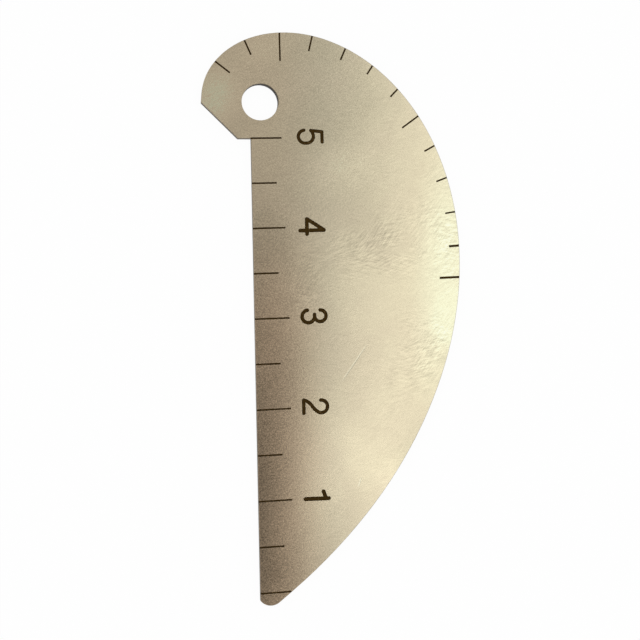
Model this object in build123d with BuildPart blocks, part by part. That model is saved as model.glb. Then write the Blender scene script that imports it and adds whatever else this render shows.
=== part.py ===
"""Spiral fillet weld gauge: one flat stainless plate with a throat spiral and a straight rule.

The origin is on the axis of the hanging hole, on the back face. +Z points out of the marked
face, +X away from the straight edge and +Y towards the head of the plate.
"""

from build123d import *

import os
from math import cos, exp, radians, sin, sqrt

# Plate, in millimetres
plate_thickness = 0.8
edge_break = 0.05
hang_hole_radius = 2.04

# Straight edge: it carries the rule, and ends at the head in a square ledge
straight_edge_x = -1.08
rule_zero_y = -54.04
rule_length = 50.0

# Curved edge: its distance from the pole falls by an even share with every degree of turn.
# A short straight run leads from it to the left corner, which is cut off at 45 degrees
pole_x = -2.863
pole_y = -1.655
reach_level = 21.05
reach_fall = 0.623
curve_start = 143
curve_end = -84
curve_arcs = 20
left_run = 1.10

# Tip: a round between the straight edge and the last, straight stretch of the curved side
tip_radius = 1.5
flank_length = 2.04

# Engraving: all marks and numerals have one depth
engraving_depth = 0.07
mark_width = 0.19
heavy_mark_width = 0.26

# Rule: full lengths of the centimetre marks, which vary a little as on a hand-set die, and how
# wide the strokes of each numeral are
centimetre_marks = {0: 3.4, 1: 3.72, 2: 3.81, 3: 3.87, 4: 3.62, 5: 3.4}
half_mark_length = 2.76
rule_lean = 0.9
numeral_foot_x = 4.0
stroke_widths = {1: 0.45, 2: 0.40, 3: 0.41, 4: 0.43, 5: 0.38}

# Throat marks: the throat in millimetres, then the mark's angle about the pole, the way it
# points outwards, and its length. The last two are cut heavier than the rest
throat_marks = {
    3: (108.4, 142.1, 2.08),
    4: (81.7, 113.5, 1.81),
    5: (61.3, 90.2, 3.20),
    6: (45.9, 75.7, 1.80),
    7: (31.8, 65.5, 1.50),
    8: (20.7, 56.6, 1.24),
    9: (10.1, 45.9, 1.28),
    10: (0.7, 35.6, 2.38),
    11: (-7.8, 28.9, 1.41),
    12: (-15.7, 20.6, 1.36),
    13: (-23.2, 8.8, 1.20),
    14: (-29.9, 4.0, 1.21),
    15: (-35.7, 1.7, 2.33),
}
heavy_marks = (14, 15)

# Numerals: the middle lines of their strokes, reading direction first and height second, from
# the centimetre mark that the numeral stands on. Two points are a straight stroke, and three
# are an arc through the middle one
numeral_strokes = {
    1: [
        [(-0.05, 0.10), (-0.03, 2.70)],
        [(-0.80, 2.14), (-0.16, 2.36)],
    ],
    2: [
        [(0.52, 0.14), (-0.93, 0.14)],
        [(-0.93, 0.14), (-0.62, 0.76), (-0.14, 1.15)],
        [(-0.14, 1.15), (0.16, 1.42), (0.40, 1.72)],
        [(0.40, 1.72), (-0.19, 2.80), (-0.88, 2.05)],
    ],
    3: [
        [(-0.86, 0.78), (0.53, 0.87), (-0.17, 1.57)],
        [(-0.17, 1.57), (-0.38, 1.57)],
        [(-0.22, 1.58), (0.42, 2.22), (-0.86, 2.22)],
    ],
    4: [
        [(-1.00, 0.94), (0.68, 0.94)],
        [(0.28, 0.18), (0.24, 2.84)],
        [(-1.00, 0.96), (0.20, 2.84)],
    ],
    5: [
        [(0.38, 2.87), (-0.76, 2.87)],
        [(-0.76, 2.87), (-0.90, 1.62)],
        [(-0.90, 1.62), (-0.56, 1.84), (-0.15, 1.90)],
        [(-0.15, 1.90), (0.34, 1.62), (0.52, 1.06)],
        [(0.52, 1.06), (0.34, 0.46), (-0.18, 0.20)],
        [(-0.18, 0.20), (-0.70, 0.40), (-0.92, 0.84)],
    ],
}


def curve_point(angle):
    """Place on the curved edge, at an angle in degrees about the pole."""
    turn = radians(angle)
    reach = reach_level * exp(-reach_fall * turn)
    return Vector(pole_x + reach * cos(turn), pole_y + reach * sin(turn))


def curve_heading(angle):
    """Direction of the curved edge towards the tip, as a unit vector."""
    turn = radians(angle)
    outward = Vector(cos(turn), sin(turn))
    onward = Vector(sin(turn), -cos(turn))
    return (outward * reach_fall + onward).normalized()


def edge_mark(end, direction, length, width=mark_width):
    """Straight groove that runs in from its end on the edge of the plate."""
    inward = Vector(-cos(radians(direction)), -sin(radians(direction)))
    middle = end + inward * ((length - edge_break) / 2)
    with Locations(Location((middle.X, middle.Y), direction)):
        Rectangle(length + edge_break, width)


def numeral(strokes, width):
    """Round-ended grooves of one width along the middle lines of a numeral."""
    for points in strokes:
        if len(points) == 2:
            start, end = Vector(points[0]), Vector(points[1])
            SlotCenterPoint((start + end) / 2, end, width)
        else:
            with BuildLine() as middle_line:
                ThreePointArc(*points)
            SlotArc(middle_line.wire(), width)


# Head of the plate: the ledge, and the corner cut off at 45 degrees
ledge_y = rule_zero_y + rule_length
curve_top = curve_point(curve_start)
left_corner = curve_top - curve_heading(curve_start) * left_run
ledge_end = Vector(left_corner.X + left_corner.Y - ledge_y, ledge_y)
inner_corner = Vector(straight_edge_x, ledge_y)

engraving_plane = Plane.XY.offset(plate_thickness - engraving_depth)

with BuildPart() as gauge_plate:
    with BuildSketch():
        with BuildLine():
            Polyline(inner_corner, ledge_end, left_corner)
            Line(left_corner, curve_top)

            # The curved edge, as arcs that each carry on in the last one's direction
            here = curve_top
            heading = curve_heading(curve_start)
            for arc_number in range(1, curve_arcs + 1):
                angle = curve_start + (curve_end - curve_start) * arc_number / curve_arcs
                arc = TangentArc(here, curve_point(angle), tangent=heading)
                here = arc @ 1
                heading = arc % 1

            # The tip: a round from the end of the flank to a corner on the straight edge
            flank = Line(here, here + heading * flank_length)
            tip_centre = flank @ 1 + Vector(heading.Y, -heading.X) * tip_radius
            tip_reach = straight_edge_x - tip_centre.X
            tip_corner = tip_centre + Vector(tip_reach, -sqrt(tip_radius**2 - tip_reach**2))
            TangentArc(flank @ 1, tip_corner, tangent=heading)
            Line(tip_corner, inner_corner)
        make_face()
    extrude(amount=plate_thickness)

    # Both rims of the blank are broken before the hanging hole goes through it
    levels = gauge_plate.edges().group_by(Axis.Z)
    chamfer(levels[0] + levels[-1], edge_break)
    Hole(hang_hole_radius)

    # Throat marks on the curved edge
    with BuildSketch(engraving_plane):
        for throat, (angle, direction, length) in throat_marks.items():
            width = heavy_mark_width if throat in heavy_marks else mark_width
            edge_mark(curve_point(angle), direction, length, width)
    extrude(amount=engraving_depth + edge_break, mode=Mode.SUBTRACT)

    # Rule on the straight edge: a long mark at each centimetre and a short one half-way
    with BuildSketch(engraving_plane):
        for centimetre, length in centimetre_marks.items():
            mark_y = rule_zero_y + 10 * centimetre
            edge_mark(Vector(straight_edge_x, mark_y), 180 + rule_lean, length)
        for half in range(5):
            mark_y = rule_zero_y + 10 * half + 5
            edge_mark(Vector(straight_edge_x, mark_y), 180 + rule_lean, half_mark_length)
    extrude(amount=engraving_depth + edge_break, mode=Mode.SUBTRACT)

    # Numerals, which read down the rule with their feet towards the straight edge
    for centimetre, strokes in numeral_strokes.items():
        numeral_origin = (numeral_foot_x, rule_zero_y + 10 * centimetre, engraving_plane.origin.Z)
        with BuildSketch(Plane(origin=numeral_origin, x_dir=(0, -1, 0), z_dir=(0, 0, 1))):
            numeral(strokes, stroke_widths[centimetre])
        extrude(amount=engraving_depth + edge_break, mode=Mode.SUBTRACT)

gauge_plate.part.label = "gauge_plate"

os.makedirs("parts", exist_ok=True)
export_step(gauge_plate.part, "parts/gauge_plate.step")
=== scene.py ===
"""Fillet weld gauge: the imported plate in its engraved, tarnished stainless finish, on a pale floor."""

from math import radians

import bpy
from mathutils import Euler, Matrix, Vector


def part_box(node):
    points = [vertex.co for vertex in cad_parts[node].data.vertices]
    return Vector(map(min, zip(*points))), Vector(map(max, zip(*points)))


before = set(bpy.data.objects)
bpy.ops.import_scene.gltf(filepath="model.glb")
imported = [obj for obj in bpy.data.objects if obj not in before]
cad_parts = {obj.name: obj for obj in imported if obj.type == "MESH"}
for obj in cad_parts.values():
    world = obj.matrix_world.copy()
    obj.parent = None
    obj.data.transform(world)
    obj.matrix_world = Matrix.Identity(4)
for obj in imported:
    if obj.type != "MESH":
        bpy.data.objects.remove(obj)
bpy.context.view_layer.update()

# The plate: one piece of 0.8 mm stainless sheet, cut to its spiral outline and rubbed by hand to a
# satin with no one direction. Handling has turned it straw, and brown along the straight edge and
# towards the tip. The marks are engraved and filled with a dark brown stain.

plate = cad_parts["gauge_plate"]
millimetres = 1000
face_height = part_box("gauge_plate")[1].z * millimetres
engraving_top = face_height - 0.02

straw = (0.838, 0.733, 0.525, 1)
pale_straw = (0.85, 0.765, 0.535, 1)
warm_straw = (0.98, 0.735, 0.490, 1)
highlight_straw = (0.985, 0.965, 0.685, 1)
sheared_and_shaded_grey = (0.125, 0.107, 0.085, 1)
hole_shade_brown = (0.030, 0.023, 0.017, 1)
stain_brown = (0.043, 0.023, 0.0035, 1)
worn_stain = (0.115, 0.072, 0.026, 1)
bright_scratch = (0.98, 0.94, 0.72, 1)

tarnish_and_shade_depth = 0.375
stroke_contrast = 0.20
quiet_strokes = 0.35
clean_grain = 0.42
tarnished_grain = 0.55
scratch_cover = 0.5
rim_shade_cover = 0.85
satin_roughness = 0.245
sheared_roughness = 0.35

steel = bpy.data.materials.new("tarnished_satin_stainless")
steel.use_nodes = True
steel_nodes = steel.node_tree.nodes
steel_links = steel.node_tree.links
steel_shader = steel_nodes["Principled BSDF"]
steel_shader.inputs["Specular IOR Level"].default_value = 0.05


def add(kind, feeds=(), **settings):
    """A node of the steel. Feeds are pairs of an input and the value or output that goes into it."""
    node = steel_nodes.new(kind)
    for name, value in settings.items():
        setattr(node, name, value)
    for socket, value in feeds:
        if isinstance(value, bpy.types.NodeSocket):
            steel_links.new(value, node.inputs[socket])
        else:
            node.inputs[socket].default_value = value
    return node


def calc(operation, first, second=0.0):
    """Arithmetic on two numbers or outputs."""
    return add("ShaderNodeMath", [(0, first), (1, second)], operation=operation).outputs[0]


def between(value, none, full):
    """0 where the value is at none, 1 where it is at full, and a smooth step between them."""
    feeds = [("Value", value), ("From Min", none), ("From Max", full)]
    return add("ShaderNodeMapRange", feeds, interpolation_type="SMOOTHSTEP").outputs[0]


def blend(factor, first, second):
    """The first colour where the factor is 0, and the second where it is 1."""
    colour_a, colour_b = 6, 7
    feeds = [(0, factor), (colour_a, first), (colour_b, second)]
    return add("ShaderNodeMix", feeds, data_type="RGBA").outputs[2]


def turned(place, angle, stretch=(1, 1, 1), centre=(0, 0, 0)):
    """The place seen from a centre, turned about Z and then stretched."""
    moved = add("ShaderNodeVectorMath", [(0, place), (1, centre)], operation="SUBTRACT").outputs[0]
    turner = add("ShaderNodeVectorRotate", [("Vector", moved), ("Angle", radians(-angle))])
    feeds = [(0, turner.outputs[0]), (1, stretch)]
    return add("ShaderNodeVectorMath", feeds, operation="MULTIPLY").outputs[0]


def noise(place, scale, detail=2.0, roughness=0.5):
    """Cloudy noise about 0.5, with its scale in patches per millimetre."""
    feeds = [("Vector", place), ("Scale", scale), ("Detail", detail), ("Roughness", roughness)]
    return add("ShaderNodeTexNoise", feeds).outputs[0]


def scratch(place, centre, angle, length, width):
    """1 inside a straight scratch with soft ends, 0 outside it."""
    local = add("ShaderNodeSeparateXYZ", [(0, turned(place, angle, centre=centre))])
    along = calc("ABSOLUTE", local.outputs[0])
    across = calc("ABSOLUTE", local.outputs[1])
    inside = between(along, length / 2, length / 4)
    return calc("MULTIPLY", inside, between(across, width, width / 4))


def patch(place, centre, angle, length, width):
    """1 in the middle of a soft oval patch, 0 outside it."""
    stretch = (2 / length, 2 / width, 0)
    local = turned(place, angle, stretch, centre)
    reach = add("ShaderNodeVectorMath", [(0, local)], operation="LENGTH").outputs["Value"]
    return between(reach, 1.0, 0.0)


coordinates = add("ShaderNodeTexCoord").outputs["Object"]
place = add("ShaderNodeVectorMath", [(0, coordinates), (1, (millimetres,) * 3)],
            operation="MULTIPLY").outputs[0]
where = add("ShaderNodeSeparateXYZ", [(0, place)])
facing = add("ShaderNodeSeparateXYZ", [(0, add("ShaderNodeNewGeometry").outputs["True Normal"])])

# Clouds of straw colour, paler towards the curved edge
clouds = between(noise(place, 0.13, 5, 0.62), 0.36, 0.64)
paleness = calc("MULTIPLY", calc("ADD", clouds, between(where.outputs[0], 6.0, 20.0)), 0.5)
body_colour = blend(paleness, straw, pale_straw)

# The warm tarnish along the straight edge, which turns brown half-way down and dark at the tip; the
# darkening is partly tarnish and partly painted shade
along_edge = between(where.outputs[0], 8.0, 0.0)
lower_half = between(where.outputs[1], -10.0, -27.0)
warmth = calc("MULTIPLY", along_edge, calc("ADD", 0.35, calc("MULTIPLY", lower_half, 0.65)))
body_colour = blend(warmth, body_colour, warm_straw)
near_edge = between(where.outputs[0], 5.8, -2.0)
near_tip = between(where.outputs[1], -11.0, -44.0)
mottle = calc("ADD", 0.90, calc("MULTIPLY", between(noise(place, 0.32, 4, 0.6), 0.25, 0.75), 0.20))
tarnish = calc("MULTIPLY", calc("MULTIPLY", near_edge, near_tip), mottle)
tarnish_and_shade_darkening = calc("MULTIPLY", tarnish, tarnish_and_shade_depth)

# A painted highlight: a stretch of the curved edge, and one place on it most of all, painted near white
edge_highlight = calc("MULTIPLY", patch(place, (21.0, -18.0, 0), 84, 38, 10), 0.9)
highlight_spot = calc("MULTIPLY", patch(place, (21.4, -24.0, 0), 86, 13, 9), 1.7)
painted_highlight = calc("MAXIMUM", edge_highlight, calc("MINIMUM", highlight_spot, 1.0))
body_colour = blend(painted_highlight, body_colour, highlight_straw)

# Patches of the face that are lighter or darker: centre, angle, length, width, lightness
lightness_patches = [
    ((8.6, -7.2, 0), 30, 13, 9, 0.17),
    ((12.2, -15.0, 0), 110, 15, 11, -0.10),
    ((-1.0, -25.0, 0), 90, 16, 6, 0.07),
    ((16.5, -38.5, 0), 60, 12, 5, -0.08),
    ((14.0, -42.5, 0), 60, 8, 6, 0.10),
    ((-5.0, 0.5, 0), 70, 11, 8, 0.24),
    ((0.5, 6.0, 0), 20, 10, 6, 0.10),
    ((4.4, -43.5, 0), 78, 24, 10, 0.12),
    ((14.0, 0.5, 0), 0, 11, 8, -0.06),
    ((1.0, -54.5, 0), 0, 8, 7, 0.08),
]
patch_lightness = 0.0
for centre, angle, length, width, gain in lightness_patches:
    patch_lightness = calc("ADD", patch_lightness, calc("MULTIPLY", patch(place, centre, angle, length, width), gain))

# The hand-rubbed satin: short fine strokes, in one direction here and another there
stroke_angles = (24, 8, 52, -14)
strokes = 0.0
for number, angle in enumerate(stroke_angles):
    here = between(noise(turned(place, angle, centre=(31.0 * number, 0, 0)), 0.22, 2), 0.42, 0.58)
    streaks = noise(turned(place, angle, (0.7, 5.5, 1)), 1.0, 3, 0.65)
    signed = calc("SUBTRACT", between(streaks, 0.30, 0.70), 0.5)
    strokes = calc("ADD", strokes, calc("MULTIPLY", signed, here))

# The strokes are fresh in a few places and almost gone elsewhere: centre, angle, length, width
fresh_places = [
    ((11.5, -16.0, 0), 25, 18, 9),
    ((20.5, -14.5, 0), 100, 20, 9),
    ((18.0, -27.5, 0), 60, 18, 11),
    ((14.5, -17.0, 0), 0, 10, 8),
    ((5.0, -20.0, 0), 90, 12, 7),
]
freshness = quiet_strokes
for centre, angle, length, width in fresh_places:
    freshness = calc("ADD", freshness, patch(place, centre, angle, length, width))
strokes = calc("MULTIPLY", strokes, freshness)

# A fine grain all over, stronger in the tarnish, and then the lightness of everything so far
grain = calc("SUBTRACT", noise(place, 6.0, 2, 0.6), 0.5)
grain_share = calc("ADD", clean_grain, calc("MULTIPLY", tarnish, tarnished_grain))
shade = calc("ADD", calc("MULTIPLY", strokes, stroke_contrast), calc("MULTIPLY", grain, grain_share))
lightness = calc("SUBTRACT", calc("ADD", calc("ADD", shade, patch_lightness), 1.0), tarnish_and_shade_darkening)
body_colour = add("ShaderNodeVectorMath", [(0, body_colour), (3, lightness)],
                  operation="SCALE").outputs[0]

# Two bright scratches below the middle of the plate
long_scratch = scratch(place, (9.95, -29.17, 0), 54, 5.6, 0.12)
short_scratch = scratch(place, (10.24, -42.40, 0), 70, 1.2, 0.14)
scratches = calc("MAXIMUM", long_scratch, short_scratch)
body_colour = blend(calc("MULTIPLY", scratches, scratch_cover), body_colour, bright_scratch)

# Painted shade on the wall of the hanging hole, and a painted dark arc on its rim on the side away from
# the rule, for the shade of a rounded rim that isn't modelled.
# The sheared sides and their broken rims are rougher than the face, and darker partly as sheared steel
# and partly as painted shade
hole_radius = 2.04
rim_side = (0.77, 0.64, 0)
from_axis = add("ShaderNodeVectorMath", [(0, place), (1, (1, 1, 0))], operation="MULTIPLY").outputs[0]
reach = add("ShaderNodeVectorMath", [(0, from_axis)], operation="LENGTH").outputs["Value"]
to_rim_side = add("ShaderNodeVectorMath", [(0, from_axis), (1, rim_side)],
                  operation="DOT_PRODUCT").outputs["Value"]
# The painted dark arc: shade of the hole's rounded rim, painted on the face
on_rim = between(reach, hole_radius + 0.12, hole_radius + 0.02)
painted_rim_shade = calc("MULTIPLY", on_rim, between(to_rim_side, 0.8, 2.0))
body_colour = blend(calc("MULTIPLY", painted_rim_shade, rim_shade_cover), body_colour, hole_shade_brown)
# Painted shade inside the hole, and sides darkened partly by painted shade
in_hole = between(reach, hole_radius + 0.56, hole_radius + 0.16)
sides = between(calc("ABSOLUTE", facing.outputs[2]), 1.0, 0.5)
body_colour = blend(sides, body_colour, blend(in_hole, sheared_and_shaded_grey, hole_shade_brown))

# The engraving: floors that face up, below the level of the face
floor_up = between(facing.outputs[2], 0.8, 0.9)
below_face = calc("LESS_THAN", where.outputs[2], engraving_top)
engraved = calc("MULTIPLY", floor_up, below_face)
stain = blend(between(noise(place, 2.6, 3, 0.6), 0.54, 0.78), stain_brown, worn_stain)
colour = blend(engraved, body_colour, stain)
steel_links.new(colour, steel_shader.inputs["Base Color"])
steel_links.new(calc("SUBTRACT", 1.0, engraved), steel_shader.inputs["Metallic"])

# The grain and the strokes also stand out a few micrometres, and make the satin shine unevenly
gloss = calc("SUBTRACT", calc("MULTIPLY", grain, 0.12), calc("MULTIPLY", clouds, 0.03))
dullness = calc("MULTIPLY", calc("MAXIMUM", engraved, sides), sheared_roughness)
roughness = calc("ADD", calc("ADD", satin_roughness, gloss), dullness)
steel_links.new(roughness, steel_shader.inputs["Roughness"])

relief = calc("ADD", calc("MULTIPLY", grain, 0.8), calc("MULTIPLY", strokes, 0.14))
relief = calc("SUBTRACT", relief, scratches)
bump = add("ShaderNodeBump", [("Height", relief), ("Strength", 0.25), ("Distance", 0.00001)])
steel_links.new(bump.outputs[0], steel_shader.inputs["Normal"])

plate.data.materials.clear()
plate.data.materials.append(steel)

# The studio floor: a pale board that the plate lies on. Eyes and mirrors see it as mostly white,
# and a small share of it is a matt surface that keeps the plate's shadow.

floor_half = 1.5
floor_drop = 0.00001
white_share = 0.96


def white_rays(nodes, links):
    """1 for rays that come from the camera, a mirror or glass, 0 for all others."""
    rays = nodes.new("ShaderNodeLightPath")
    seen = rays.outputs["Is Camera Ray"]
    for kind in ("Is Glossy Ray", "Is Transmission Ray"):
        either = nodes.new("ShaderNodeMath")
        either.operation = "MAXIMUM"
        links.new(seen, either.inputs[0])
        links.new(rays.outputs[kind], either.inputs[1])
        seen = either.outputs[0]
    return seen


def level_board(name, low_corner, high_corner, height):
    """A flat level board, with a material of its own that has no nodes yet."""
    (left, near), (right, far) = low_corner, high_corner
    corners = [(left, near, height), (right, near, height), (right, far, height), (left, far, height)]
    mesh = bpy.data.meshes.new(name)
    mesh.from_pydata(corners, [], [(0, 1, 2, 3)])
    paint = bpy.data.materials.new(name)
    paint.use_nodes = True
    paint.node_tree.nodes.clear()
    mesh.materials.append(paint)
    board = bpy.data.objects.new(name, mesh)
    bpy.context.scene.collection.objects.link(board)
    return board, paint.node_tree.nodes, paint.node_tree.links


floor_corners = ((-floor_half, -floor_half), (floor_half, floor_half))
floor, floor_nodes, floor_links = level_board("floor", *floor_corners, -floor_drop)
share = floor_nodes.new("ShaderNodeMath")
share.operation = "MULTIPLY"
share.inputs[1].default_value = white_share
floor_links.new(white_rays(floor_nodes, floor_links), share.inputs[0])
matt = floor_nodes.new("ShaderNodeBsdfDiffuse")
matt.inputs["Color"].default_value = (0.9, 0.9, 0.9, 1)
white = floor_nodes.new("ShaderNodeEmission")
mixed = floor_nodes.new("ShaderNodeMixShader")
floor_links.new(share.outputs[0], mixed.inputs[0])
floor_links.new(matt.outputs[0], mixed.inputs[1])
floor_links.new(white.outputs[0], mixed.inputs[2])
floor_output = floor_nodes.new("ShaderNodeOutputMaterial")
floor_links.new(mixed.outputs[0], floor_output.inputs["Surface"])

# Two level cards over the left and the head of the plate. They give the steel something dark to
# mirror and keep the lamp off its lower left, and the camera looks through them.


def reflector_card(name, low_corner, high_corner, height, brightness):
    """A level card of one even brightness."""
    card, nodes, links = level_board(name, low_corner, high_corner, height)
    glow = nodes.new("ShaderNodeEmission")
    glow.inputs["Color"].default_value = (brightness, brightness, brightness, 1)
    output = nodes.new("ShaderNodeOutputMaterial")
    links.new(glow.outputs[0], output.inputs["Surface"])
    card.visible_camera = False
    card.visible_diffuse = False


reflector_card("black_card", (-0.249, -0.306), (0.0322, 0.0802), 0.161, 0.13)
reflector_card("grey_card", (-0.0857, 0.0033), (0.0450, 0.1445), 0.151, 0.40)

# The light: a white studio all round, and one small soft lamp that hangs beyond the tip, to its
# right, and faces straight down.

studio = bpy.data.worlds.new("white_studio")
studio.use_nodes = True
studio_nodes = studio.node_tree.nodes
studio_links = studio.node_tree.links
level = studio_nodes.new("ShaderNodeMapRange")
level.inputs["To Min"].default_value = 0.9
level.inputs["To Max"].default_value = 1.0
studio_links.new(white_rays(studio_nodes, studio_links), level.inputs["Value"])
background = studio_nodes["Background"]
background.inputs["Color"].default_value = (1, 1, 1, 1)
studio_links.new(level.outputs[0], background.inputs["Strength"])
bpy.context.scene.world = studio

softbox = bpy.data.lights.new("softbox", "AREA")
softbox.shape = "RECTANGLE"
softbox.size = 0.072
softbox.size_y = 0.030
softbox.energy = 0.0245
lamp = bpy.data.objects.new("softbox", softbox)
lamp.location = (0.0283, -0.0836, 0.331)
bpy.context.scene.collection.objects.link(lamp)

# The camera: held by hand over the left of the plate, 116 mm above the floor, and turned slightly.
# The small shift stands for the way the photograph was trimmed.

camera_data = bpy.data.cameras.new("camera")
camera_data.sensor_width = 36
camera_data.lens = 59.312
camera_data.shift_x = 0.0128
camera_data.shift_y = -0.0442
camera_data.clip_start = 0.005
camera = bpy.data.objects.new("camera", camera_data)
camera.location = (-0.012542, -0.024439, 0.116457)
camera.rotation_euler = Euler((radians(1.818), radians(-8.744), radians(-1.313)))
bpy.context.scene.collection.objects.link(camera)
bpy.context.scene.camera = camera
bpy.context.scene.view_settings.view_transform = "Standard"
